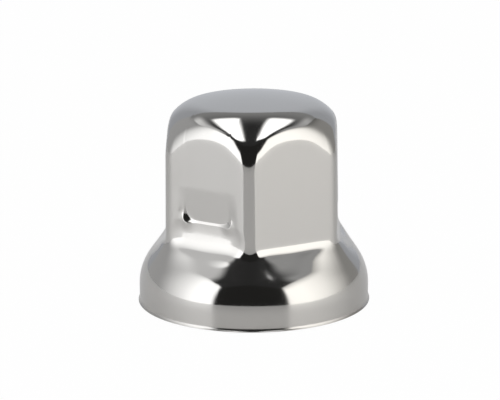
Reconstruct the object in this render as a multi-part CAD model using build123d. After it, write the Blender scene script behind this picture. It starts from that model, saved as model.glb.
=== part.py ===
from build123d import *
import math
import os

# A push-on cover for a wheel nut, deep-drawn from one piece of polished
# stainless sheet. The origin is at the centre of the rim it stands on, and +Z
# runs up through the crown. The hexagon has a corner at the front, towards -Y.

# What the cover goes over
NUT_ACROSS_FLATS = 32.0
NUT_CLEARANCE = 0.7
WASHER_DIAMETER = 45.0
WASHER_CLEARANCE = 0.52

# Sheet and overall height
SHEET = 0.6
COVER_HEIGHT = 42.84

# Hexagonal wall
SIDE_COUNT = 6
FLATS_MIDDLE_Z = 22.0
WALL_DRAFT = 0.85
CORNER_RADIUS = 3.45

# Crown and the shoulder that leans in to it
CROWN_RADIUS = 60.0
SHOULDER_RADIUS = 8.5
SHOULDER_LEAN = 16.0
CORNER_BULGE = 0.8
BULGE_DEPTH = 2.84
BULGE_LENGTH = 9.0
CORNER_DEPTH = 8.7
CONE_SECTIONS = 3
SHOULDER_SECTIONS = 9
ARCH_RADIUS = 5.0

# Flared skirt, six-sided where it leaves the wall and round at its band
BAND_HEIGHT = 3.5
SKIRT_RADIUS = 10.5
FLANK_ANGLE = 41.0
THROAT_RADIUS = 2.0
CORNER_SKIRT_RADIUS = 12.0
CORNER_FLANK_ANGLE = 28.0
CORNER_THROAT_RADIUS = 4.0
ROUND_SECTION_TURN = 10.0
THROAT_SECTIONS = 6
SKIRT_SECTIONS = 9
LIP_RADIUS = 1.0
LIP_HEIGHT = 0.77

# Grip dents pressed into every second flat
GRIP_BITE = 0.1
DENT_COUNT = 3
DENT_FIRST_AZIMUTH = 0.0
DENT_WIDTH = 10.4
DENT_BOTTOM_Z = 19.7
DENT_LENGTH = 6.6
DENT_CORNER_RADIUS = 2.2
DENT_STEP = 0.25
DENT_STEP_ANGLE = 45.0
DISH_SIDE = 2.6
DISH_BELOW = 4.0

# Below this share of roundness the sides of a section are straight
STRAIGHT_LIMIT = 1e-6

# How far a cutting shape runs past the surface it cuts
OVERRUN = 1.0
DENT_OVERRUN = 0.05

# Sizes that follow
FLAT_DISTANCE = NUT_ACROSS_FLATS / 2 + NUT_CLEARANCE + SHEET
BAND_OUTER_RADIUS = WASHER_DIAMETER / 2 + WASHER_CLEARANCE + SHEET
BULGE_TOP_Z = COVER_HEIGHT - BULGE_DEPTH
BULGE_FOOT_Z = BULGE_TOP_Z - BULGE_LENGTH
CORNER_TOP_Z = BULGE_TOP_Z - CORNER_DEPTH
DENT_DEPTH = NUT_CLEARANCE + GRIP_BITE
DRAFT_SLOPE = math.tan(math.radians(WALL_DRAFT))
SIDE_TURN = 360 / SIDE_COUNT
HALF_SIDE = math.radians(SIDE_TURN / 2)
CORNER_DISTANCE = (FLAT_DISTANCE - CORNER_RADIUS) / math.cos(HALF_SIDE) + CORNER_RADIUS


def polar(centre, radius, degrees):
    """A point of a profile in the plane of X and Z."""
    turn = math.radians(degrees)
    return (centre[0] + radius * math.cos(turn), centre[1] + radius * math.sin(turn))


def wall_reach(distance, z, inset):
    """What a distance or radius of the drafted wall comes to at a height."""
    level_inset = inset / math.cos(math.radians(WALL_DRAFT))
    return distance + (FLATS_MIDDLE_Z - z) * DRAFT_SLOPE - level_inset


def throat_and_flank(distance, skirt_radius, flank_angle, throat_radius):
    """The flank's foot and the centre of the throat's arc, in one profile."""
    draft = math.radians(WALL_DRAFT)
    lean = math.radians(flank_angle)
    foot = polar((BAND_OUTER_RADIUS - skirt_radius, BAND_HEIGHT), skirt_radius, flank_angle)
    from_wall = distance * math.cos(draft) + FLATS_MIDDLE_Z * math.sin(draft) + throat_radius
    from_flank = foot[0] * math.cos(lean) + foot[1] * math.sin(lean) + throat_radius
    turn = math.sin(lean - draft)
    x = (from_wall * math.sin(lean) - from_flank * math.sin(draft)) / turn
    z = (from_flank * math.cos(draft) - from_wall * math.cos(lean)) / turn
    return foot, (x, z)


def flare_reach(distance, skirt_radius, flank_angle, throat_radius, z, inset):
    """Reach of one flare profile: wall, throat, sloping flank, rounded skirt."""
    foot, throat = throat_and_flank(distance, skirt_radius, flank_angle, throat_radius)
    lean = math.radians(flank_angle)
    arc = throat_radius + inset
    shoulder = skirt_radius - inset
    throat_top = throat[1] - arc * math.sin(math.radians(WALL_DRAFT))
    throat_end = throat[1] - arc * math.sin(lean)
    skirt_end = BAND_HEIGHT + shoulder * math.sin(lean)
    if z >= throat_top:
        return wall_reach(distance, z, inset)
    if z >= throat_end:
        return throat[0] - math.sqrt(arc ** 2 - (z - throat[1]) ** 2)
    if z >= skirt_end:
        end_reach = throat[0] - arc * math.cos(lean)
        return end_reach + (throat_end - z) * math.tan(lean)
    return BAND_OUTER_RADIUS - skirt_radius + math.sqrt(shoulder ** 2 - (z - BAND_HEIGHT) ** 2)


THROAT_TOP_Z = throat_and_flank(FLAT_DISTANCE, SKIRT_RADIUS, FLANK_ANGLE, THROAT_RADIUS)[1][1]
CORNER_THROAT_TOP_Z = throat_and_flank(
    CORNER_DISTANCE,
    CORNER_SKIRT_RADIUS,
    CORNER_FLANK_ANGLE,
    CORNER_THROAT_RADIUS,
)[1][1]
FLARE_TOP_Z = max(THROAT_TOP_Z, CORNER_THROAT_TOP_Z)


def six_sided_section(flat, corner, z):
    """A level outline with a reach at its flats and another at its corners.

    With the wall's own bulge it is a rounded hexagon, and with none a circle.
    """
    roundness = 1 - (corner - flat) / (CORNER_DISTANCE - FLAT_DISTANCE)
    turn = math.radians(ROUND_SECTION_TURN) * min(max(roundness, 0.0), 1.0)
    share = math.cos(HALF_SIDE) + math.sin(HALF_SIDE) * math.tan(turn / 2)
    radius = (flat - corner * share) / (1 - share)
    swing = corner - radius
    joint = (
        swing * math.cos(HALF_SIDE) + radius * math.cos(turn),
        swing * math.sin(HALF_SIDE) + radius * math.sin(turn),
    )
    joint_before = (joint[0], -joint[1])
    joint_angle = math.degrees(math.atan2(joint[1], joint[0]))
    joint_after = polar((0.0, 0.0), math.hypot(joint[0], joint[1]), SIDE_TURN - joint_angle)
    corner_point = polar((0.0, 0.0), corner, SIDE_TURN / 2)
    if roundness < STRAIGHT_LIMIT:
        side = Line(joint_before, joint)
    else:
        side = ThreePointArc(joint_before, (flat, 0.0), joint)
    bend = ThreePointArc(joint, corner_point, joint_after)
    edges = []
    for number in range(SIDE_COUNT):
        edges += [Rot(0.0, 0.0, number * SIDE_TURN) * edge for edge in (side, bend)]
    return Plane.XY.offset(z) * make_face(edges)


def flare_section(z, inset):
    """The outline of the flare at a height."""
    flat = flare_reach(FLAT_DISTANCE, SKIRT_RADIUS, FLANK_ANGLE, THROAT_RADIUS, z, inset)
    corner = flare_reach(
        CORNER_DISTANCE,
        CORNER_SKIRT_RADIUS,
        CORNER_FLANK_ANGLE,
        CORNER_THROAT_RADIUS,
        z,
        inset,
    )
    return six_sided_section(flat, corner, z)


def flare(inset):
    """The six-sided throat that turns into a round skirt, as one smooth loft."""
    throat_foot = THROAT_TOP_Z - THROAT_RADIUS
    heights = [
        FLARE_TOP_Z + (throat_foot - FLARE_TOP_Z) * step / THROAT_SECTIONS
        for step in range(THROAT_SECTIONS)
    ]
    heights += [
        throat_foot + (BAND_HEIGHT - throat_foot) * step / SKIRT_SECTIONS
        for step in range(SKIRT_SECTIONS + 1)
    ]
    return loft([flare_section(z, inset) for z in heights])


def hexagonal_wall(inset):
    """The tapering six-sided body, its faces moved inwards by inset."""
    apothem = wall_reach(FLAT_DISTANCE, FLARE_TOP_Z, inset)
    hexagon = RegularPolygon(apothem, SIDE_COUNT, major_radius=False, rotation=SIDE_TURN / 2)
    section = fillet(hexagon.vertices(), wall_reach(CORNER_RADIUS, FLARE_TOP_Z, inset))
    return extrude(
        Plane.XY.offset(FLARE_TOP_Z) * section,
        amount=COVER_HEIGHT + OVERRUN - FLARE_TOP_Z,
        taper=WALL_DRAFT,
    )


def crown_profile():
    """The shoulder arc's centre, and the angle at which it meets the crown."""
    corner_reach = wall_reach(CORNER_DISTANCE, CORNER_TOP_Z, 0.0)
    lean = math.radians(SHOULDER_LEAN)
    cone_offset = corner_reach * math.cos(lean) + CORNER_TOP_Z * math.sin(lean)
    crown_centre = (0.0, COVER_HEIGHT - CROWN_RADIUS)
    reach = CROWN_RADIUS - SHOULDER_RADIUS
    share = (cone_offset - SHOULDER_RADIUS - crown_centre[1] * math.sin(lean)) / reach
    meeting_angle = SHOULDER_LEAN + math.degrees(math.acos(share))
    return crown_centre, polar(crown_centre, reach, meeting_angle), meeting_angle


def crown_reach(z, inset):
    """Reach of the turned crown at a height, on its cone or its shoulder arc."""
    shoulder_centre = crown_profile()[1]
    shoulder = SHOULDER_RADIUS - inset
    cone_top = polar(shoulder_centre, shoulder, SHOULDER_LEAN)
    if z < cone_top[1]:
        return cone_top[0] + (cone_top[1] - z) * math.tan(math.radians(SHOULDER_LEAN))
    return shoulder_centre[0] + math.sqrt(shoulder ** 2 - (z - shoulder_centre[1]) ** 2)


def crown_section(z, inset):
    """The outline of the crown at a height, fuller towards the six corners."""
    share = (BULGE_TOP_Z - z) / (BULGE_TOP_Z - BULGE_FOOT_Z)
    share = min(max(share, 0.0), 1.0)
    bulge = CORNER_BULGE * share * share * (3 - 2 * share)
    reach = crown_reach(z, inset)
    return six_sided_section(reach, reach + bulge, z)


def crown(inset):
    """The form that closes the top: crown, shoulder and leaning cone."""
    crown_centre, shoulder_centre, meeting_angle = crown_profile()
    heights = [
        FLARE_TOP_Z + (BULGE_FOOT_Z - FLARE_TOP_Z) * step / CONE_SECTIONS
        for step in range(CONE_SECTIONS)
    ]
    heights += [
        BULGE_FOOT_Z + (BULGE_TOP_Z - BULGE_FOOT_Z) * step / SHOULDER_SECTIONS
        for step in range(SHOULDER_SECTIONS + 1)
    ]
    shoulder_form = loft([crown_section(z, inset) for z in heights])

    shoulder = SHOULDER_RADIUS - inset
    cap_foot = (crown_reach(BULGE_TOP_Z, inset), BULGE_TOP_Z)
    foot_angle = math.degrees(math.asin((BULGE_TOP_Z - shoulder_centre[1]) / shoulder))
    cap_middle = polar(shoulder_centre, shoulder, (foot_angle + meeting_angle) / 2)
    crown_edge = polar(shoulder_centre, shoulder, meeting_angle)
    crown_middle = polar(crown_centre, CROWN_RADIUS - inset, (meeting_angle + 90) / 2)
    crown_top = (0.0, COVER_HEIGHT - inset)
    profile = [
        Line((0.0, BULGE_TOP_Z), cap_foot),
        ThreePointArc(cap_foot, cap_middle, crown_edge),
        ThreePointArc(crown_edge, crown_middle, crown_top),
        Line(crown_top, (0.0, BULGE_TOP_Z)),
    ]
    return shoulder_form + revolve(Plane.XZ * make_face(profile), axis=Axis.Z)


def rim(inset):
    """The turned foot of the skirt: upright band and rolled-out lip."""
    band = BAND_OUTER_RADIUS - inset
    lip_centre = (BAND_OUTER_RADIUS + LIP_RADIUS, LIP_HEIGHT)
    lip_arc = LIP_RADIUS + inset
    lip_end = 180 + math.degrees(math.asin(LIP_HEIGHT / lip_arc))
    lip_foot = polar(lip_centre, lip_arc, lip_end)
    lip_middle = polar(lip_centre, lip_arc, (180 + lip_end) / 2)
    profile = [
        Line((0.0, 0.0), lip_foot),
        ThreePointArc(lip_foot, lip_middle, (band, LIP_HEIGHT)),
        Line((band, LIP_HEIGHT), (band, BAND_HEIGHT)),
        Line((band, BAND_HEIGHT), (0.0, BAND_HEIGHT)),
        Line((0.0, BAND_HEIGHT), (0.0, 0.0)),
    ]
    return revolve(Plane.XZ * make_face(profile), axis=Axis.Z)


def curved_edges(solid, low, high):
    """The edges where two sloping forms meet, between two heights."""
    plain = (GeomType.LINE, GeomType.CIRCLE)
    found = [edge for edge in solid.edges() if low < edge.center().Z < high]
    return [edge for edge in found if edge.geom_type not in plain]


def pressed_form(inset):
    """The whole cover as a closed form, its surface moved inwards by inset."""
    body = hexagonal_wall(inset) & crown(inset)
    arches = curved_edges(body, FLATS_MIDDLE_Z, COVER_HEIGHT)
    body = fillet(arches, ARCH_RADIUS - inset)
    return body + flare(inset) + rim(inset)


def rounded_outline(plane, half_width, low, high, radius):
    """A rectangle with rounded corners, from low to high along a plane."""
    outline = RectangleRounded(2 * half_width, high - low, radius)
    return plane * (Pos(0.0, (low + high) / 2, 0.0) * outline)


def leaning_plane(flat, depth):
    """A plane flush with the flat at a dent's top, and depth mm in at its bottom."""
    top = DENT_BOTTOM_Z + DENT_LENGTH - FLATS_MIDDLE_Z
    lean = math.degrees(math.atan(depth / DENT_LENGTH))
    return Plane(flat.location * Pos(0.0, top, 0.0) * Rot(lean, 0.0, 0.0))


def dent_tool(inset):
    """What one punch presses in, on the flat that faces +X.

    The pad is flush with the flat at its top and leans in to its full depth at
    its bottom. A shallow dish leads in to it from both sides and from below.
    """
    half_width = DENT_WIDTH / 2
    dish_depth = DENT_DEPTH - DENT_STEP
    flat = Plane(
        origin=(FLAT_DISTANCE, 0.0, FLATS_MIDDLE_Z),
        x_dir=(0.0, 1.0, 0.0),
        z_dir=(1.0, 0.0, DRAFT_SLOPE),
    ).offset(-inset)
    bottom = DENT_BOTTOM_Z - FLATS_MIDDLE_Z
    growth = 1 + DENT_OVERRUN / dish_depth
    dish = loft([
        rounded_outline(
            leaning_plane(flat, dish_depth),
            half_width,
            -DENT_LENGTH,
            0.0,
            DENT_CORNER_RADIUS,
        ),
        rounded_outline(
            flat.offset(DENT_OVERRUN),
            half_width + DISH_SIDE * growth,
            bottom - DISH_BELOW * growth,
            bottom + DENT_LENGTH,
            DENT_CORNER_RADIUS + DISH_SIDE * growth,
        ),
    ], ruled=True)
    punch = extrude(
        rounded_outline(
            leaning_plane(flat, DENT_DEPTH),
            half_width,
            -DENT_LENGTH,
            0.0,
            DENT_CORNER_RADIUS,
        ),
        amount=DENT_STEP + DENT_OVERRUN,
        taper=-DENT_STEP_ANGLE,
    )
    return dish + punch


def nut_cover():
    """The drawn sheet: the outer form less the same form one sheet further in."""
    outside = pressed_form(0.0)
    inside = pressed_form(SHEET)
    for number in range(DENT_COUNT):
        azimuth = DENT_FIRST_AZIMUTH + number * 360 / DENT_COUNT
        outside = outside - Rot(0.0, 0.0, azimuth) * dent_tool(0.0)
        inside = inside - Rot(0.0, 0.0, azimuth) * dent_tool(SHEET)
    return outside - inside


os.makedirs("parts", exist_ok=True)
export_step(nut_cover(), "parts/nut_cover.step")
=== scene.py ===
# %% [markdown]
# # A polished cover for a wheel nut
# The real cover is one disc of stainless sheet. A press draws it into a cup,
# squeezes six flats into the cup's wall, flares the rim into a skirt, and
# finally punches three dents that grip the nut. Then it is buffed until it
# mirrors the studio. This lesson builds it in the same order: a turned blank,
# the pressing, the polish, and last the studio that the metal reflects.

# %% Load the frame
import math

import bpy
from mathutils import Matrix, Vector


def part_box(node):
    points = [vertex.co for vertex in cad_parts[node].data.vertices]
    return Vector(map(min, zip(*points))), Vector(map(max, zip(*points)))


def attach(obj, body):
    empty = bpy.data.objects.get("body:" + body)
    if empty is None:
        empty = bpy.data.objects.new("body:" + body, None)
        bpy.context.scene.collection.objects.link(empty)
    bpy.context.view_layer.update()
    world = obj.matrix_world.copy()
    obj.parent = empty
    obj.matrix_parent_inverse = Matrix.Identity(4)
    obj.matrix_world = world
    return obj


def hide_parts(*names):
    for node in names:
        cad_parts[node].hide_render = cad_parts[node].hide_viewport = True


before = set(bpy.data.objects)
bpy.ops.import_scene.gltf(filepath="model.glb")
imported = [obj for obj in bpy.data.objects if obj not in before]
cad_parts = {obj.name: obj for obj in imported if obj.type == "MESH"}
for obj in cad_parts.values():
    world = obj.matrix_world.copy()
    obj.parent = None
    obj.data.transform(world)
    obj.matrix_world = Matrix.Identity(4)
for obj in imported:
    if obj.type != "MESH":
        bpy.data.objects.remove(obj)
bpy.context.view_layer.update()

MM = 0.001
low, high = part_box("nut_cover")
cover_height = high[2] - low[2]
print("cover height in mm:", round(cover_height / MM, 2))

# %% [markdown]
# ## The sheet and its hexagon
# The cover is 0.6 mm steel, pressed over a hexagon that clears a 32 mm nut by
# a little on every side. The wall tapers upwards by less than a degree, so
# that the press can let it go. The form could be pulled out of a six-sided
# cylinder by hand, but then its sizes would be lost. Here every surface is
# worked out from a few named sizes. They follow the solid model, with some
# bends made softer. The inner face of the sheet is the outer one, moved
# inwards by an inset.

# %% Sizes of the sheet and the hexagon
SHEET = 0.6 * MM
FLAT_DISTANCE = 17.3 * MM
FLATS_MIDDLE_Z = 22.0 * MM
WALL_DRAFT = math.radians(0.85)
CORNER_RADIUS = 3.45 * MM

SECTOR = math.radians(60)
HALF_SECTOR = SECTOR / 2

corner_swing = (FLAT_DISTANCE - CORNER_RADIUS) / math.cos(HALF_SECTOR)
corner_distance = corner_swing + CORNER_RADIUS
print("from the axis to a rounded corner in mm:", round(corner_distance / MM, 2))


def drafted(distance, height, inset):
    """What a distance of the tapering wall comes to at a height."""
    slope = math.tan(WALL_DRAFT)
    return distance + (FLATS_MIDDLE_Z - height) * slope - inset / math.cos(WALL_DRAFT)


# %% [markdown]
# ## The crown
# Above the flats the real cover is still the round cup that was drawn first:
# a nearly flat dome, a rolled shoulder, and a cone that leans in a little. A
# profile spun round the axis would do for it, with the Screw modifier. We
# only keep the profile, because the press changes the round form later. The
# dome and the shoulder are arcs that run into each other without a crease, so
# the place where they meet is worked out and not set.

# %% Profile of the crown
CROWN_RADIUS = 60.0 * MM
SHOULDER_RADIUS = 8.5 * MM
SHOULDER_LEAN = math.radians(16.0)
CORNER_TOP_Z = 31.3 * MM


def polar(centre, radius, angle):
    """A point of a profile: its reach from the axis and its height."""
    return (centre[0] + radius * math.cos(angle), centre[1] + radius * math.sin(angle))


def cone_offset():
    """How far the leaning cone of the shoulder lies from the origin."""
    corner = drafted(corner_distance, CORNER_TOP_Z, 0.0)
    return corner * math.cos(SHOULDER_LEAN) + CORNER_TOP_Z * math.sin(SHOULDER_LEAN)


def cone_reach(height, inset):
    """Reach of the leaning cone below the shoulder, at a height."""
    offset = cone_offset() - inset
    return (offset - height * math.sin(SHOULDER_LEAN)) / math.cos(SHOULDER_LEAN)


crown_centre = (0.0, cover_height - CROWN_RADIUS)
shoulder_swing = CROWN_RADIUS - SHOULDER_RADIUS
share = cone_offset() - SHOULDER_RADIUS - crown_centre[1] * math.sin(SHOULDER_LEAN)
crown_edge = SHOULDER_LEAN + math.acos(share / shoulder_swing)
shoulder_centre = polar(crown_centre, shoulder_swing, crown_edge)
print("crown meets the shoulder at", round(math.degrees(crown_edge), 1), "degrees")

# %% [markdown]
# ## The flare
# Below the flats the real sheet swings outwards into a skirt that hides the
# nut's 45 mm washer. It swings out faster under a flat than under a corner,
# and so we describe two flares, each with a throat arc, a sloping flank and a
# skirt arc. A Bevel would round both alike. What is kept is the growth: how
# far the flare stands out from the wall at a height. Where the growth is
# nothing, the plain wall goes on.

# %% Profile of the flare
BAND_OUTER_RADIUS = 23.62 * MM
BAND_HEIGHT = 3.5 * MM
FLAT_FLARE = {"skirt": 10.5 * MM, "lean": math.radians(41.0), "throat": 3.0 * MM}
CORNER_FLARE = {"skirt": 12.0 * MM, "lean": math.radians(28.0), "throat": 4.0 * MM}


def throat_and_foot(distance, flare):
    """The centre of a flare's throat arc, and the foot of its sloping flank."""
    lean, throat = flare["lean"], flare["throat"]
    foot = polar((BAND_OUTER_RADIUS - flare["skirt"], BAND_HEIGHT), flare["skirt"], lean)
    from_wall = distance * math.cos(WALL_DRAFT) + FLATS_MIDDLE_Z * math.sin(WALL_DRAFT) + throat
    from_flank = foot[0] * math.cos(lean) + foot[1] * math.sin(lean) + throat
    turn = math.sin(lean - WALL_DRAFT)
    x = (from_wall * math.sin(lean) - from_flank * math.sin(WALL_DRAFT)) / turn
    z = (from_flank * math.cos(WALL_DRAFT) - from_wall * math.cos(lean)) / turn
    return (x, z), foot


def flare_growth(distance, flare, height, inset):
    """How far a flare stands out from the wall at a height."""
    (x, z), foot = throat_and_foot(distance, flare)
    arc = flare["throat"] + inset
    skirt = flare["skirt"] - inset
    wall = drafted(distance, height, inset)
    if height >= z - arc * math.sin(WALL_DRAFT):
        return 0.0
    throat_end = polar((x, z), -arc, flare["lean"])
    if height >= throat_end[1]:
        return x - math.sqrt(arc ** 2 - (height - z) ** 2) - wall
    if height >= BAND_HEIGHT + skirt * math.sin(flare["lean"]):
        return throat_end[0] + (throat_end[1] - height) * math.tan(flare["lean"]) - wall
    drop = skirt ** 2 - (height - BAND_HEIGHT) ** 2
    return BAND_OUTER_RADIUS - flare["skirt"] + math.sqrt(drop) - wall


flank_foot = throat_and_foot(FLAT_DISTANCE, FLAT_FLARE)[1]
print("height in mm where the skirt starts under a flat:", round(flank_foot[1] / MM, 2))

# %% [markdown]
# ## The rim
# The real skirt ends in a short upright band, and the trimmed edge is turned
# out a little. The edge is no knife, but slightly rounded, and catches a line
# of light. A Solidify modifier would leave it square, so here the lip's arc
# stops where two small rounds take over.

# %% Profile of the lip
LIP_RADIUS = 1.0 * MM
LIP_HEIGHT = 0.77 * MM
EDGE_RADIUS = 0.08 * MM

lip_centre = (BAND_OUTER_RADIUS + LIP_RADIUS, LIP_HEIGHT)


def lip_turn(inset):
    """The radius of the lip's arc, and the angle where its rounded edge starts."""
    radius = LIP_RADIUS + inset
    return radius, math.pi + math.asin((LIP_HEIGHT - EDGE_RADIUS) / radius)


print("the lip turns out in degrees:", round(math.degrees(lip_turn(0.0)[1]) - 180, 1))

# %% [markdown]
# ## Rows of the blank
# A round blank is a list of rows from the pole to the rim, and back up on the
# inside. Each row keeps its height, the reach of the crown there, how far the
# flare has grown at the flats and at the corners, and its inset in the sheet.
# A mirror shows every flaw of a mesh, so the rows lie close where the profile
# turns and where the dents will be. Nobody sees the inside as a mirror, so it
# does with fewer.

# %% Rows
DENT_LENGTH = 6.6 * MM
DENT_BOTTOM_Z = 19.7 * MM
STEP_ABOVE = 0.7 * MM
STEP_BELOW = 0.8 * MM
ARCHES_END_Z = 29.0 * MM
THROAT_TOP_Z = 14.6 * MM
THROAT_END_Z = 9.0 * MM
CROWN_ROWS = 7
SHOULDER_ROWS = 26
BAND_ROWS = 4
LIP_ROWS = 8
EDGE_STEPS = 4
INNER_DETAIL = 0.42


def spread(first, last, steps):
    """Evenly spaced values from first up to, but not with, last."""
    return [first + (last - first) * step / steps for step in range(steps)]


def row(height, inset, crown=None, reach=None):
    """One row: its height, crown reach, growth at flats and at corners, and inset.

    Where no crown is given it is the shoulder's cone. A reach of its own makes
    the row round, as the band and the lip are.
    """
    if crown is None:
        crown = cone_reach(height, inset)
    if reach is None:
        at_flats = flare_growth(FLAT_DISTANCE, FLAT_FLARE, height, inset)
        at_corners = flare_growth(corner_distance, CORNER_FLARE, height, inset)
    else:
        at_flats = reach - drafted(FLAT_DISTANCE, height, inset)
        at_corners = reach - drafted(corner_distance, height, inset)
    return (height, crown, at_flats, at_corners, inset)


def face_rows(inset, detail):
    """The rows of one face of the sheet, from the pole to the lip."""
    found = []

    def steps(count):
        return max(2, round(count * detail))

    for angle in spread(math.pi / 2, crown_edge, steps(CROWN_ROWS)):
        reach, height = polar(crown_centre, CROWN_RADIUS - inset, angle)
        found.append(row(height, inset, crown=reach))
    for angle in spread(crown_edge, SHOULDER_LEAN, steps(SHOULDER_ROWS)):
        reach, height = polar(shoulder_centre, SHOULDER_RADIUS - inset, angle)
        found.append(row(height, inset, crown=reach))

    cone_top = polar(shoulder_centre, SHOULDER_RADIUS - inset, SHOULDER_LEAN)[1]
    dent_top = DENT_BOTTOM_Z + DENT_LENGTH
    stretches = [
        (cone_top, ARCHES_END_Z, 22),
        (ARCHES_END_Z, dent_top, 5),
        (dent_top, DENT_BOTTOM_Z + STEP_ABOVE, 14),
        (DENT_BOTTOM_Z + STEP_ABOVE, DENT_BOTTOM_Z - STEP_BELOW, 12),
        (DENT_BOTTOM_Z - STEP_BELOW, THROAT_TOP_Z, 9),
        (THROAT_TOP_Z, THROAT_END_Z, 24),
        (THROAT_END_Z, BAND_HEIGHT, 15),
    ]
    for top, bottom, count in stretches:
        for height in spread(top, bottom, steps(count)):
            found.append(row(height, inset))

    for height in spread(BAND_HEIGHT, LIP_HEIGHT, steps(BAND_ROWS)):
        found.append(row(height, inset, reach=BAND_OUTER_RADIUS - inset))
    radius, end = lip_turn(inset)
    for angle in spread(math.pi, end, steps(LIP_ROWS)):
        reach, height = polar(lip_centre, radius, angle)
        found.append(row(height, inset, reach=reach))
    return found


def edge_rows():
    """Rows round the trimmed edge of the sheet, from the outer to the inner lip."""
    outer_end = polar(lip_centre, *lip_turn(0.0))[0] - EDGE_RADIUS
    inner_end = polar(lip_centre, *lip_turn(SHEET))[0] + EDGE_RADIUS
    found = []
    for middle, start in ((outer_end, 0.0), (inner_end, -math.pi / 2)):
        for step in range(EDGE_STEPS + 1):
            angle = start - math.pi / 2 * step / EDGE_STEPS
            reach, height = polar((middle, EDGE_RADIUS), EDGE_RADIUS, angle)
            found.append(row(height, 0.0, reach=reach))
    return found


outer_rows = face_rows(0.0, 1.0)
rim_rows = edge_rows()
inner_rows = face_rows(SHEET, INNER_DETAIL)
rows = outer_rows + rim_rows + inner_rows[::-1]
print("rows outside, round the edge and inside:", len(outer_rows), len(rim_rows), len(inner_rows))

# %% [markdown]
# ## Columns of the blank
# The columns are azimuths, worked out for one flat and one corner at a time.
# Even steps would be simpler, but they would be coarse where the sheet turns
# fast. So the points crowd round the six corners and along the sides of a
# dent, and the plain flats get few.

# %% Columns
DENT_WIDTH = 10.4 * MM
SIDE_OUTWARDS = 0.9 * MM
SIDE_INWARDS = 0.7 * MM
CORNER_STEPS = 26


def corner_azimuths(count):
    """Azimuths, from a corner's own, at even turns of the rounded corner."""
    found = []
    for turn in spread(-HALF_SECTOR, HALF_SECTOR, count) + [HALF_SECTOR]:
        x = corner_swing + CORNER_RADIUS * math.cos(turn)
        y = CORNER_RADIUS * math.sin(turn)
        found.append(math.atan2(y, x))
    return found


def flat_azimuths(dented):
    """Azimuths across one flat, between its two rounded corners."""
    half_flat = (FLAT_DISTANCE - CORNER_RADIUS) * math.tan(HALF_SECTOR)
    outer, inner = DENT_WIDTH / 2 + SIDE_OUTWARDS, DENT_WIDTH / 2 - SIDE_INWARDS
    if dented:
        spans = [
            (-half_flat, -outer, 7),
            (-outer, -inner, 12),
            (-inner, inner, 16),
            (inner, outer, 12),
            (outer, half_flat, 7),
        ]
    else:
        spans = [(-half_flat, half_flat, 20)]
    stations = [y for first, last, count in spans for y in spread(first, last, count)]
    return [math.atan2(y, FLAT_DISTANCE) for y in stations[1:]]


columns = []
for number in range(6):
    flat = number * SECTOR
    columns += [flat + turn for turn in flat_azimuths(number % 2 == 0)]
    columns += [flat + HALF_SECTOR + turn for turn in corner_azimuths(CORNER_STEPS)]
print("columns:", len(columns))

# %% [markdown]
# ## The blank as a mesh
# Rows and columns make a closed sheet: down the outside, round the edge and up
# the inside, with a fan of triangles at each pole. The press has to know what
# each point belongs to, so the facts of its row and column travel with it as
# attributes. That is tidier than guessing them back from its place.

# %% The blank
FACTS = ("azimuth", "height", "crown_reach", "flat_growth", "corner_growth", "inset")


def blank_sheet():
    """The closed round sheet, with the facts of every point kept as attributes."""
    facts = {key: [] for key in FACTS}

    def add_point(azimuth, values):
        for key, value in zip(FACTS, (azimuth,) + values):
            facts[key].append(value)
        return len(facts["azimuth"]) - 1

    outer_pole = add_point(0.0, rows[0])
    rings = [[add_point(azimuth, values) for azimuth in columns] for values in rows[1:-1]]
    inner_pole = add_point(0.0, rows[-1])

    faces = []
    count = len(columns)
    for number in range(count):
        following = (number + 1) % count
        faces.append((outer_pole, rings[0][number], rings[0][following]))
        for upper, lower in zip(rings, rings[1:]):
            faces.append((upper[number], lower[number], lower[following], upper[following]))
        faces.append((inner_pole, rings[-1][following], rings[-1][number]))

    points = []
    for azimuth, height, crown, growth in zip(*[facts[key] for key in FACTS[:4]]):
        reach = min(crown, FLAT_DISTANCE + growth)
        points.append((reach * math.cos(azimuth), reach * math.sin(azimuth), height))
    mesh = bpy.data.meshes.new("nut_cover_sheet")
    mesh.from_pydata(points, [], faces)
    for key, values in facts.items():
        mesh.attributes.new(key, "FLOAT", "POINT").data.foreach_set("value", values)
    return mesh


blank = bpy.data.objects.new("nut_cover_blank", blank_sheet())
bpy.context.scene.collection.objects.link(blank)
print("blank:", len(blank.data.vertices), "points,", len(blank.data.polygons), "faces")

# %% [markdown]
# ## Arithmetic with nodes
# Geometry Nodes can hold the press's rule, so that a size can be changed in
# the modifier and the cover follows. Long sums are hard to read as nodes, so
# a small class lets ordinary plus and minus signs lay the Math nodes. The
# polish and the lights use the same class in their shader trees.

# %% A field that does sums
def feed(slot, value):
    """Give a socket a plain value, or link a field to it."""
    if isinstance(value, Field):
        value.tree.links.new(value.socket, slot)
    else:
        slot.default_value = value


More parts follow.
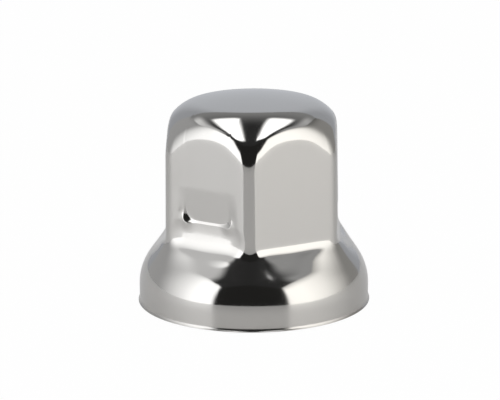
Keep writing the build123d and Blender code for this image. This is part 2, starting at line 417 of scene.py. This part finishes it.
class Field:
    """A number that a node tree works out at every point."""

    def __init__(self, tree, socket):
        self.tree = tree
        self.socket = socket

    def math(self, operation, *values):
        node = self.tree.nodes.new("ShaderNodeMath")
        node.operation = operation
        for slot, value in zip(node.inputs, values):
            feed(slot, value)
        return Field(self.tree, node.outputs[0])

    def __add__(self, other):
        return self.math("ADD", self, other)

    def __sub__(self, other):
        return self.math("SUBTRACT", self, other)

    def __rsub__(self, other):
        return self.math("SUBTRACT", other, self)

    def __mul__(self, other):
        return self.math("MULTIPLY", self, other)

    def __truediv__(self, other):
        return self.math("DIVIDE", self, other)

    def cos(self):
        return self.math("COSINE", self)

    def sin(self):
        return self.math("SINE", self)

    def tan(self):
        return self.math("TANGENT", self)

    def size(self):
        return self.math("ABSOLUTE", self)

    def root(self):
        return self.math("SQRT", self.at_least(0.0))

    def at_least(self, other):
        return self.math("MAXIMUM", self, other)

    def at_most(self, other):
        return self.math("MINIMUM", self, other)

    def above(self, other):
        return self.math("GREATER_THAN", self, other)

    def clipped(self):
        """The field, kept between 0 and 1."""
        return self.at_least(0.0).at_most(1.0)

    def smooth(self):
        """0 up to 0, 1 from 1 on, and an even swing between them."""
        part = self.clipped()
        return part * part * (3.0 - part * 2.0)

    def turn_to(self, other, part):
        """This field where part is 0, and the other where part is 1."""
        return self + (other - self) * part


def apart(across, along):
    """The straight distance that two distances at a right angle make."""
    return (across * across + along * along).root()


print("a field can do:", ", ".join(name for name in vars(Field) if not name.startswith("_")))

# %% [markdown]
# ## The flats, the arches and the flare
# Three rules press the wall. A hexagon with rounded corners gives its reach at
# an azimuth. Towards the skirt the hexagon loses its corners in a soft wave
# and ends as a circle, and the crown keeps a little of the six corners too.
# Where the wall meets the crown the smaller reach wins, with a soft blend
# between them, and that draws the arch at the top of each flat. Booleans and
# bevels could cut the same arches, but they leave thin faces that a mirror
# would show.

# %% Rules of the wall
CORNER_FULLNESS = 0.37
FULL_BELOW_Z = 31.0 * MM
ROUND_ABOVE_Z = 40.0 * MM
ARCH_BLEND = 1.0 * MM
LOSS_OF_CORNERS = 1.8


def six_sided_reach(across, flat, corner):
    """Reach of a rounded hexagon that has one reach at its flats and one at its corners."""
    radius = flat - (corner - flat) / (1 / math.cos(HALF_SECTOR) - 1)
    swing = (flat - radius) / math.cos(HALF_SECTOR)
    from_corner = HALF_SECTOR - across.size()
    sideways = swing * from_corner.sin()
    on_corner = swing * from_corner.cos() + (radius * radius - sideways * sideways).root()
    on_flat = flat / across.cos()
    half_flat = (flat - radius) * math.tan(HALF_SECTOR)
    rounded = (flat * across.size().tan()).above(half_flat)
    return on_flat.turn_to(on_corner, rounded)


def softened_reach(hexagon, across, flat, corner, bulge):
    """A hexagon's reach, turned into a soft wave and a circle as its corners go.

    The bulge is how far the corners stand out of the plain wall's flats.
    """
    wave = flat + (corner - flat) * (0.5 - (across * 6.0).cos() * 0.5)
    lost = ((1.0 - (corner - flat) / bulge) * LOSS_OF_CORNERS).smooth()
    return hexagon.turn_to(wave, lost)


def lesser_reach(first, second, blend):
    """The smaller of two reaches, eased into each other where they are close."""
    near = (blend - (first - second).size()).at_least(0.0)
    return first.at_most(second) - near * near / (blend * 4.0)


print("the corners stand out in mm:", round((corner_distance - FLAT_DISTANCE) / MM, 2))

# %% [markdown]
# ## The grip dents
# The last punch on the real cover presses a small dent into every second
# flat, and its inner side catches the nut. It is a flat pad that leans in and
# is deepest at its lower edge. A small step ends it there, and the sheet
# round it is drawn into a shallow dish. At the pad's two lower corners the
# dish stops short and the step stays high, which gives the dark spot. It could
# be sculpted, but a depth with named sizes makes three dents that are alike.

# %% Rule of a dent
DENT_DEPTH = 0.8 * MM
DENT_CORNER_RADIUS = 2.6 * MM
DENT_STEP = 0.16 * MM
DENT_STEP_SLOPE = 0.5
DENT_BLEND = 0.1 * MM
DISH_SIDE = 2.3 * MM
DISH_BELOW = 7.0 * MM
DISH_WIDENING = 0.9
RIDGE_REACH = 2.4 * MM
RIDGE_SHARE = 0.9


def dent_depth(sideways, height, size):
    """How deep the punch has pressed at a place on a flat."""
    top = size["Dent bottom"] + size["Dent length"]
    down = ((top - height) / size["Dent length"]).clipped()
    past_side = sideways.size() - size["Dent width"] / 2.0
    past_bottom = size["Dent bottom"] - height

    corner = size["Dent corner"]
    round_side = (past_side + corner).at_least(0.0)
    round_bottom = (past_bottom + corner).at_least(0.0)
    outside = (apart(round_side, round_bottom) - corner).at_least(0.0)
    pad = size["Dent depth"] * down - outside * size["Step slope"]

    beside = past_side.at_least(0.0)
    below = past_bottom.at_least(0.0)
    at_side = (1.0 - beside / (size["Dish side"] + below * DISH_WIDENING)).smooth()
    at_foot = (1.0 - below / size["Dish below"]).smooth()
    near_ridge = (1.0 - apart(past_side, past_bottom) / size["Ridge reach"]).smooth()
    dish_depth = size["Dent depth"] - size["Dent step"]
    dish = dish_depth * down * at_side * at_foot * (1.0 - near_ridge * RIDGE_SHARE)
    return pad.math("SMOOTH_MAX", pad, dish, DENT_BLEND)


print("a dent in mm, wide and deep:", round(DENT_WIDTH / MM, 2), round(DENT_DEPTH / MM, 2))

# %% [markdown]
# ## The press as a node tree
# The tree moves each point of the blank to the place that the rules give it.
# First the wall and the crown are laid out round the axis, and then a dent's
# depth is taken off along the normal of its flat. The tree ends by realizing
# its instances, which a plain mesh doesn't need but the export asks for, and
# by giving the metal.

# %% The node tree
PRESS_SIZES = {
    "Flat distance": FLAT_DISTANCE,
    "Flats middle": FLATS_MIDDLE_Z,
    "Draft": WALL_DRAFT,
    "Corner radius": CORNER_RADIUS,
    "Corner fullness": CORNER_FULLNESS,
    "Full below": FULL_BELOW_Z,
    "Round above": ROUND_ABOVE_Z,
    "Arch blend": ARCH_BLEND,
    "Dent width": DENT_WIDTH,
    "Dent length": DENT_LENGTH,
    "Dent bottom": DENT_BOTTOM_Z,
    "Dent depth": DENT_DEPTH,
    "Dent corner": DENT_CORNER_RADIUS,
    "Dent step": DENT_STEP,
    "Step slope": DENT_STEP_SLOPE,
    "Dish side": DISH_SIDE,
    "Dish below": DISH_BELOW,
    "Ridge reach": RIDGE_REACH,
}


def pressed_reach(fact, across, size):
    """Reach of the wall and the crown together, before the dents."""
    taper = (size["Flats middle"] - fact["height"]) * size["Draft"].tan()
    taper = taper - fact["inset"] / size["Draft"].cos()
    to_corner = (size["Flat distance"] - size["Corner radius"]) / math.cos(HALF_SECTOR)
    to_corner = to_corner + size["Corner radius"]
    bulge = to_corner - size["Flat distance"]

    flat = size["Flat distance"] + taper + fact["flat_growth"]
    corner = to_corner + taper + fact["corner_growth"]
    hexagon = six_sided_reach(across, flat, corner)
    wall = softened_reach(hexagon, across, flat, corner, bulge)

    full = (size["Round above"] - fact["height"]) / (size["Round above"] - size["Full below"])
    turned = fact["crown_reach"]
    fuller = turned + bulge * size["Corner fullness"] * full.smooth()
    crown = six_sided_reach(across, turned, fuller)
    return lesser_reach(wall, crown, size["Arch blend"])


def named_fact(tree, name):
    """A fact of the blank's points, read in the node tree."""
    node = tree.nodes.new("GeometryNodeInputNamedAttribute")
    node.data_type = "FLOAT"
    node.inputs["Name"].default_value = name
    return Field(tree, node.outputs["Attribute"])


def press_tree():
    """The node group that presses a round blank into the cover."""
    tree = bpy.data.node_groups.new("press_the_cover", "GeometryNodeTree")
    tree.is_modifier = True
    face = tree.interface
    face.new_socket("Blank", in_out="INPUT", socket_type="NodeSocketGeometry")
    face.new_socket("Cover", in_out="OUTPUT", socket_type="NodeSocketGeometry")
    for name in PRESS_SIZES:
        face.new_socket(name, in_out="INPUT", socket_type="NodeSocketFloat")
    face.new_socket("Metal", in_out="INPUT", socket_type="NodeSocketMaterial")
    entry = tree.nodes.new("NodeGroupInput")
    leave = tree.nodes.new("NodeGroupOutput")
    size = {name: Field(tree, entry.outputs[name]) for name in PRESS_SIZES}
    fact = {name: named_fact(tree, name) for name in FACTS}

    azimuth = fact["azimuth"]
    across = azimuth.math("WRAP", azimuth, HALF_SECTOR, -HALF_SECTOR)
    reach = pressed_reach(fact, across, size)
    flat_azimuth = azimuth - across
    punched = (flat_azimuth * 3.0).cos().above(0.0)
    depth = dent_depth(reach * across.sin(), fact["height"], size) * punched
    place = tree.nodes.new("ShaderNodeCombineXYZ")
    feed(place.inputs["X"], reach * azimuth.cos() - depth * flat_azimuth.cos())
    feed(place.inputs["Y"], reach * azimuth.sin() - depth * flat_azimuth.sin())
    feed(place.inputs["Z"], fact["height"])

    move = tree.nodes.new("GeometryNodeSetPosition")
    realize = tree.nodes.new("GeometryNodeRealizeInstances")
    finish = tree.nodes.new("GeometryNodeSetMaterial")
    tree.links.new(entry.outputs["Blank"], move.inputs["Geometry"])
    tree.links.new(place.outputs[0], move.inputs["Position"])
    tree.links.new(move.outputs[0], realize.inputs[0])
    tree.links.new(realize.outputs[0], finish.inputs["Geometry"])
    tree.links.new(entry.outputs["Metal"], finish.inputs["Material"])
    tree.links.new(finish.outputs[0], leave.inputs["Cover"])
    return tree


press = press_tree()
print("nodes in the press:", len(press.nodes))

# %% [markdown]
# ## The polish
# Buffed stainless is a mirror with faults: a slightly grey metal, a very fine
# grain left by the mop, a faint wave from the drawing, and handling marks that
# dull it a little. Towards the bottom edge the metal is rougher and its colour a
# little darker, and the inside keeps the dull skin of the press. Painted pictures
# could hold all this, but noise that is worked out from the place on the object
# has no seams and stays sharp at any size.

# %% Tools of the polish
GRAIN_SCALE = 2600.0


def noise(tree, place, scale, detail, finer_z):
    """Soft noise between 0 and 1, finer along Z by a factor, or coarser below 1."""
    shape = tree.nodes.new("ShaderNodeMapping")
    shape.inputs["Scale"].default_value = (1.0, 1.0, finer_z)
    cloud = tree.nodes.new("ShaderNodeTexNoise")
    cloud.inputs["Scale"].default_value = scale
    cloud.inputs["Detail"].default_value = detail
    tree.links.new(place, shape.inputs["Vector"])
    tree.links.new(shape.outputs["Vector"], cloud.inputs["Vector"])
    return Field(tree, cloud.outputs["Fac"])


def raised(tree, height, distance, below=None):
    """The normal of a surface with a height laid on it, over an earlier normal."""
    bump = tree.nodes.new("ShaderNodeBump")
    bump.inputs["Strength"].default_value = 1.0
    bump.inputs["Distance"].default_value = distance
    feed(bump.inputs["Height"], height)
    if below is not None:
        tree.links.new(below, bump.inputs["Normal"])
    return bump.outputs["Normal"]


print("one grain in mm:", round(1 / GRAIN_SCALE / MM, 2))

# %% The metal
STEEL = (0.63, 0.622, 0.608, 1.0)
WORN_STEEL = (0.53, 0.52, 0.5, 1.0)
MIRROR_ROUGHNESS = 0.045
DULL_ROUGHNESS = 0.26
RIM_MARK_BELOW = 1.6 * MM
RIM_MARK_FADE = 1.2 * MM
WAVE_DEPTH = 0.03 * MM
GRAIN_DEPTH = 0.0004 * MM
DULL_GRAIN = 6.0


def buffed_stainless():
    """Stainless sheet: a buffed mirror outside, and dull from the press inside."""
    metal = bpy.data.materials.new("buffed_stainless")
    metal.use_nodes = True
    tree = metal.node_tree
    shader = tree.nodes["Principled BSDF"]
    shader.inputs["Metallic"].default_value = 1.0
    place = tree.nodes.new("ShaderNodeTexCoord").outputs["Object"]
    split = tree.nodes.new("ShaderNodeSeparateXYZ")
    tree.links.new(place, split.inputs[0])
    height = Field(tree, split.outputs["Z"])
    face = tree.nodes.new("ShaderNodeAttribute")
    face.attribute_name = "inset"
    inside = (Field(tree, face.outputs["Fac"]) / SHEET).at_most(1.0)

    mop = noise(tree, place, scale=110.0, detail=3.0, finer_z=0.5)
    wiped = noise(tree, place, scale=42.0, detail=2.0, finer_z=1.6)
    grain = noise(tree, place, scale=GRAIN_SCALE, detail=2.0, finer_z=7.0)
    wave = noise(tree, place, scale=70.0, detail=1.0, finer_z=0.6)
    speck = noise(tree, place, scale=900.0, detail=1.0, finer_z=1.0)
    handled = ((wiped - 0.56) / 0.1).smooth()
    specks = ((speck - 0.7) / 0.05).smooth()
    # Below about 1.6 mm, over the lip and the foot of the band, the steel is made rougher and its
    # colour a little darker towards the bottom edge.
    darker_rougher_rim = ((RIM_MARK_BELOW - height) / RIM_MARK_FADE).smooth()

    roughness = mop * 0.05 + handled * 0.035 + darker_rougher_rim * 0.1 + grain * 0.02 + MIRROR_ROUGHNESS
    roughness = roughness.turn_to(grain * 0.1 + DULL_ROUGHNESS, inside)
    feed(shader.inputs["Roughness"], roughness)

    # The colour darkens where handled, at specks, towards the bottom edge, and over the inside's
    # dull skin.
    marks = handled * 0.12 + darker_rougher_rim * 0.25 + specks * 0.15
    marks = marks.turn_to(marks + 0.6, inside).at_most(1.0)
    tone = tree.nodes.new("ShaderNodeMix")
    tone.data_type = "RGBA"
    tone.inputs["A"].default_value = STEEL
    tone.inputs["B"].default_value = WORN_STEEL
    feed(tone.inputs["Factor"], marks)
    tree.links.new(tone.outputs["Result"], shader.inputs["Base Color"])

    waved = raised(tree, wave, WAVE_DEPTH)
    grained = raised(tree, grain.turn_to(grain * DULL_GRAIN, inside), GRAIN_DEPTH, waved)
    tree.links.new(grained, shader.inputs["Normal"])
    return metal


metal = buffed_stainless()
print("metal:", metal.name, "with", len(metal.node_tree.nodes), "nodes")

# %% [markdown]
# ## Pressing the blank
# Everything meets here. The modifier gets its sizes by the identifiers of its
# sockets, is evaluated once, and leaves a plain mesh. That mesh is the cover:
# it rides on the root body and takes the place of the solid model's node. The
# inset stays with the mesh, because the polish reads it, and the other facts
# have done their work.

# %% Press the blank
modifier = blank.modifiers.new("press", "NODES")
modifier.node_group = press
for item in press.interface.items_tree:
    if item.in_out == "INPUT" and item.name in PRESS_SIZES:
        modifier[item.identifier] = PRESS_SIZES[item.name]
    if item.in_out == "INPUT" and item.name == "Metal":
        modifier[item.identifier] = metal

graph = bpy.context.evaluated_depsgraph_get()
pressed = bpy.data.meshes.new_from_object(blank.evaluated_get(graph))
blank.modifiers.remove(modifier)
bpy.data.objects.remove(blank)
for name in FACTS[:-1]:
    pressed.attributes.remove(pressed.attributes[name])
pressed.shade_smooth()
cover = bpy.data.objects.new("pressed_cover", pressed)
bpy.context.scene.collection.objects.link(cover)
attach(cover, "root")
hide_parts("nut_cover")
print("cover:", len(pressed.polygons), "faces, material", pressed.materials[0].name)

# %% [markdown]
# ## The studio
# A mirror has no look of its own: what is seen on it is the room. Lamps alone
# would leave it black with a few bright dots, so the room here is a tent of
# cards that the camera can't see, on a pale table. The cards give the light,
# and the white background lies outside the tent.

# %% Things of the stage
def stage_mesh(name, points, material):
    """One flat four-sided piece of the stage."""
    mesh = bpy.data.meshes.new(name)
    mesh.from_pydata(points, [], [(0, 1, 2, 3)])
    mesh.materials.append(material)
    thing = bpy.data.objects.new(name, mesh)
    bpy.context.scene.collection.objects.link(thing)
    return thing


def blank_material(name):
    """A material with nothing but its output."""
    material = bpy.data.materials.new(name)
    material.use_nodes = True
    tree = material.node_tree
    tree.nodes.remove(tree.nodes["Principled BSDF"])
    return material, tree


def background_share(tree, seen_share, mirrored_share):
    """How much of the white background a ray is given, by what the ray shows."""
    path = tree.nodes.new("ShaderNodeLightPath")
    seen = Field(tree, path.outputs["Is Camera Ray"])
    mirrored = Field(tree, path.outputs["Is Glossy Ray"])
    mirrored = mirrored.at_least(Field(tree, path.outputs["Is Transmission Ray"]))
    return (seen * seen_share).at_least(mirrored * mirrored_share)


def mixed(tree, part, first, second, output):
    """Lead one shader to an output where part is 0, and the other where it is 1."""
    mix = tree.nodes.new("ShaderNodeMixShader")
    feed(mix.inputs["Fac"], part)
    tree.links.new(first.outputs[0], mix.inputs[1])
    tree.links.new(second.outputs[0], mix.inputs[2])
    tree.links.new(mix.outputs[0], tree.nodes[output].inputs["Surface"])


print("ready for the stage: flat meshes, empty materials and the white background")

# %% [markdown]
# ## The table
# The real cover stands on a smooth white table. Its own shine is what the
# flats mirror, so it is a real surface with a soft gloss, and it keeps the
# cover's shadow. The camera sees it almost as white as the background, so
# that no horizon shows.

# %% Floor
FLOOR_HALF = 3.0
FLOOR_COLOUR = (0.8, 0.79, 0.78, 1.0)
FLOOR_ROUGHNESS = 0.28
FLOOR_WHITE = 0.985
FLOOR_MIRRORED_WHITE = 0.1


def floor_material():
    """A smooth white table, which keeps the cover's shadow."""
    material, tree = blank_material("studio_floor")
    paint = tree.nodes.new("ShaderNodeBsdfPrincipled")
    paint.inputs["Base Color"].default_value = FLOOR_COLOUR
    paint.inputs["Roughness"].default_value = FLOOR_ROUGHNESS
    white = tree.nodes.new("ShaderNodeEmission")
    white.inputs["Strength"].default_value = 1.0
    part = background_share(tree, FLOOR_WHITE, FLOOR_MIRRORED_WHITE)
    mixed(tree, part, paint, white, "Material Output")
    return material


corners = [(-1, -1), (1, -1), (1, 1), (-1, 1)]
floor_points = [(x * FLOOR_HALF, y * FLOOR_HALF, 0.0) for x, y in corners]
stage_mesh("floor", floor_points, floor_material())
print("floor:", 2 * FLOOR_HALF, "m wide")

# %% [markdown]
# ## The cards
# Two lit walls stand at the sides, brightest in front of the cover and fading
# towards the back. Two long lamps hang above with a dark gap between them, and
# the front is dark. The dark front draws the black heart on the skirt, and
# the gap between the lamps draws the black wedge at the top of the corner.
# Area lamps have hard, even edges. A card whose light is painted by place can
# fade as softly as a real screen does.

# %% Cards with painted light
def rise(value, place, soft):
    """0 before a place and 1 past it, with a swing of a chosen width."""
    return ((value - place) / soft + 0.5).smooth()


def fall(value, place, soft):
    """1 before a place and 0 past it, with a swing of a chosen width."""
    return ((place - value) / soft + 0.5).smooth()


def window(value, first, last, first_soft, last_soft):
    """1 between two places, with a soft swing at each of them."""
    return rise(value, first, first_soft) * fall(value, last, last_soft)


def card(name, points, colour, paint):
    """A card that gives light. Its strength is one number, or painted by place."""
    material, tree = blank_material(name)
    light = tree.nodes.new("ShaderNodeEmission")
    light.inputs["Color"].default_value = (*colour, 1.0)
    strength = paint
    if callable(paint):
        place = tree.nodes.new("ShaderNodeTexCoord")
        split = tree.nodes.new("ShaderNodeSeparateXYZ")
        tree.links.new(place.outputs["Object"], split.inputs[0])
        strength = paint(*[Field(tree, output) for output in split.outputs])
    feed(light.inputs["Strength"], strength)
    tree.links.new(light.outputs[0], tree.nodes["Material Output"].inputs["Surface"])
    thing = stage_mesh(name, points, material)
    thing.visible_camera = False
    return thing


print("ready for the room: cards whose light can rise, fall or stand in a window")

# %% The paint of the cards
UNLIT = 0.02
FRONT_FADE = 0.06
CORNER_FADE = 0.1
TOP_FADE = 0.3
LAMPS_ACROSS = (0.08, 0.25, 0.04, 0.06)
LAMPS_ALONG = (-0.425, 0.15, 0.06, 0.10)
BESIDE_ALONG = (-0.3, 0.3, 0.2, 0.2)


def side_wall(front, top, ground, broad, tight):
    """Paint for a side wall: a broad and a tight band of light on a dim ground.

    A band is where it starts and ends, how wide its fade towards the back is,
    and its strength.
    """

    def band(y, first, last, fade, strength):
        return window(y, first, last, FRONT_FADE, fade) * strength

    def paint(x, y, z):
        light = band(y, *broad) + band(y, *tight) + ground
        return light * fall(z, top, TOP_FADE) * rise(y, front, CORNER_FADE) + UNLIT

    return paint


LEFT_LIGHT = side_wall(
    front=-0.60, top=0.56, ground=0.42,
    broad=(-0.60, -0.045, 0.38, 0.95), tight=(-0.54, -0.225, 0.20, 0.35),
)
RIGHT_LIGHT = side_wall(
    front=-0.612, top=0.49, ground=0.30,
    broad=(-0.612, 0.0225, 0.42, 1.15), tight=(-0.612, -0.225, 0.20, 0.2),
)


def ceiling_light(x, y, z):
    """Two long lamps, a dim light behind them, and one beside them."""
    lamps = window(x.size(), *LAMPS_ACROSS) * window(y, *LAMPS_ALONG)
    behind = rise(y, 0.15, 0.5)
    beside = rise(x.size(), 0.34, 0.1) * window(y, *BESIDE_ALONG)
    return lamps * 2.1 + behind * 0.25 + beside * (0.52 - x * 0.4) + 0.03


def back_light(x, y, z):
    """A dim wall, a little lighter in its middle."""
    return fall(x.size(), 0.2, 0.2) * 0.16 + 0.43


print("gap between the lamps in m:", 2 * LAMPS_ACROSS[0])

# %% The room
ROOM_HALF = 0.45
ROOM_HEIGHT = 0.5
ROOM_FRONT = -0.64
ROOM_BACK = 0.45
NEUTRAL = (1.0, 1.0, 1.0)
WARM = (1.0, 0.98, 0.94)
COOL = (0.96, 0.99, 1.05)


def upright(first, second):
    """The four corners of a wall that stands between two places on the floor."""
    return [(*first, 0.0), (*second, 0.0), (*second, ROOM_HEIGHT), (*first, ROOM_HEIGHT)]


front_left, front_right = (-ROOM_HALF, ROOM_FRONT), (ROOM_HALF, ROOM_FRONT)
back_left, back_right = (-ROOM_HALF, ROOM_BACK), (ROOM_HALF, ROOM_BACK)
lid = [(*place, ROOM_HEIGHT) for place in (front_left, front_right, back_right, back_left)]
card("left_wall", upright(front_left, back_left), NEUTRAL, LEFT_LIGHT)
card("right_wall", upright(front_right, back_right), WARM, RIGHT_LIGHT)
card("ceiling", lid, NEUTRAL, ceiling_light)
card("back_wall", upright(back_left, back_right), COOL, back_light)
card("dark_front", upright(front_left, front_right), WARM, UNLIT)
print("the room is", 2 * ROOM_HALF, "m wide and", ROOM_HEIGHT, "m high")

# %% [markdown]
# ## The background
# The photo has no background but white, and a plain colour is enough for it.
# The world is white where the camera sees it, and for mirror and glass rays.
# For every other ray it is half as strong, a weak fill outside the tent.

# %% World
WORLD_FILL = 0.5

world = bpy.data.worlds.new("studio")
bpy.context.scene.world = world
world.use_nodes = True
fill = world.node_tree.nodes["Background"]
white = world.node_tree.nodes.new("ShaderNodeBackground")
for shade, strength in ((fill, WORLD_FILL), (white, 1.0)):
    shade.inputs["Color"].default_value = (1.0, 1.0, 1.0, 1.0)
    shade.inputs["Strength"].default_value = strength
in_view = background_share(world.node_tree, 1.0, 1.0)
mixed(world.node_tree, in_view, fill, white, "World Output")
print("world:", WORLD_FILL, "for light, and white where it is seen or mirrored")

# %% [markdown]
# ## The camera
# The picture was taken from a little above the table, close to a corner of
# the hexagon and with a long lens. The camera's place was fitted to the
# outlines of the crown, the flats and the rim, and so was the pixel that it
# aims at. The roll is small, but without it the rim would stand crooked.

# %% Camera
VIEW_ELEVATION = math.radians(14.195)
VIEW_AZIMUTH = math.radians(2.651)
VIEW_ROLL = math.radians(-0.386)
VIEW_DISTANCE = 400 * MM
SENSOR_WIDTH = 36
FOCAL_PIXELS = 1952.84
PICTURE_WIDTH, PICTURE_HEIGHT = 500, 400
AIM_PIXEL = (253.257, 193.814)

back = Vector((
    math.sin(VIEW_AZIMUTH) * math.cos(VIEW_ELEVATION),
    -math.cos(VIEW_AZIMUTH) * math.cos(VIEW_ELEVATION),
    math.sin(VIEW_ELEVATION),
))
level = Vector((math.cos(VIEW_AZIMUTH), math.sin(VIEW_AZIMUTH), 0.0))
right = level * math.cos(VIEW_ROLL) + back.cross(level) * math.sin(VIEW_ROLL)
up = back.cross(right)

camera = bpy.data.objects.new("camera", bpy.data.cameras.new("camera"))
camera.matrix_world = Matrix((right, up, back)).transposed().to_4x4()
camera.location = Vector((0, 0, FLATS_MIDDLE_Z)) + back * VIEW_DISTANCE
camera.data.sensor_width = SENSOR_WIDTH
camera.data.lens = FOCAL_PIXELS * SENSOR_WIDTH / PICTURE_WIDTH
camera.data.shift_x = (PICTURE_WIDTH / 2 - AIM_PIXEL[0]) / PICTURE_WIDTH
camera.data.shift_y = (AIM_PIXEL[1] - PICTURE_HEIGHT / 2) / PICTURE_WIDTH
camera.data.clip_start = 0.01
bpy.context.scene.collection.objects.link(camera)
bpy.context.scene.camera = camera
bpy.context.scene.view_settings.view_transform = "Standard"
print("lens in mm:", round(camera.data.lens, 1))

# %% [markdown] The shown cover has to fill the same
# box as the solid model, or the shared frame would be wrong.
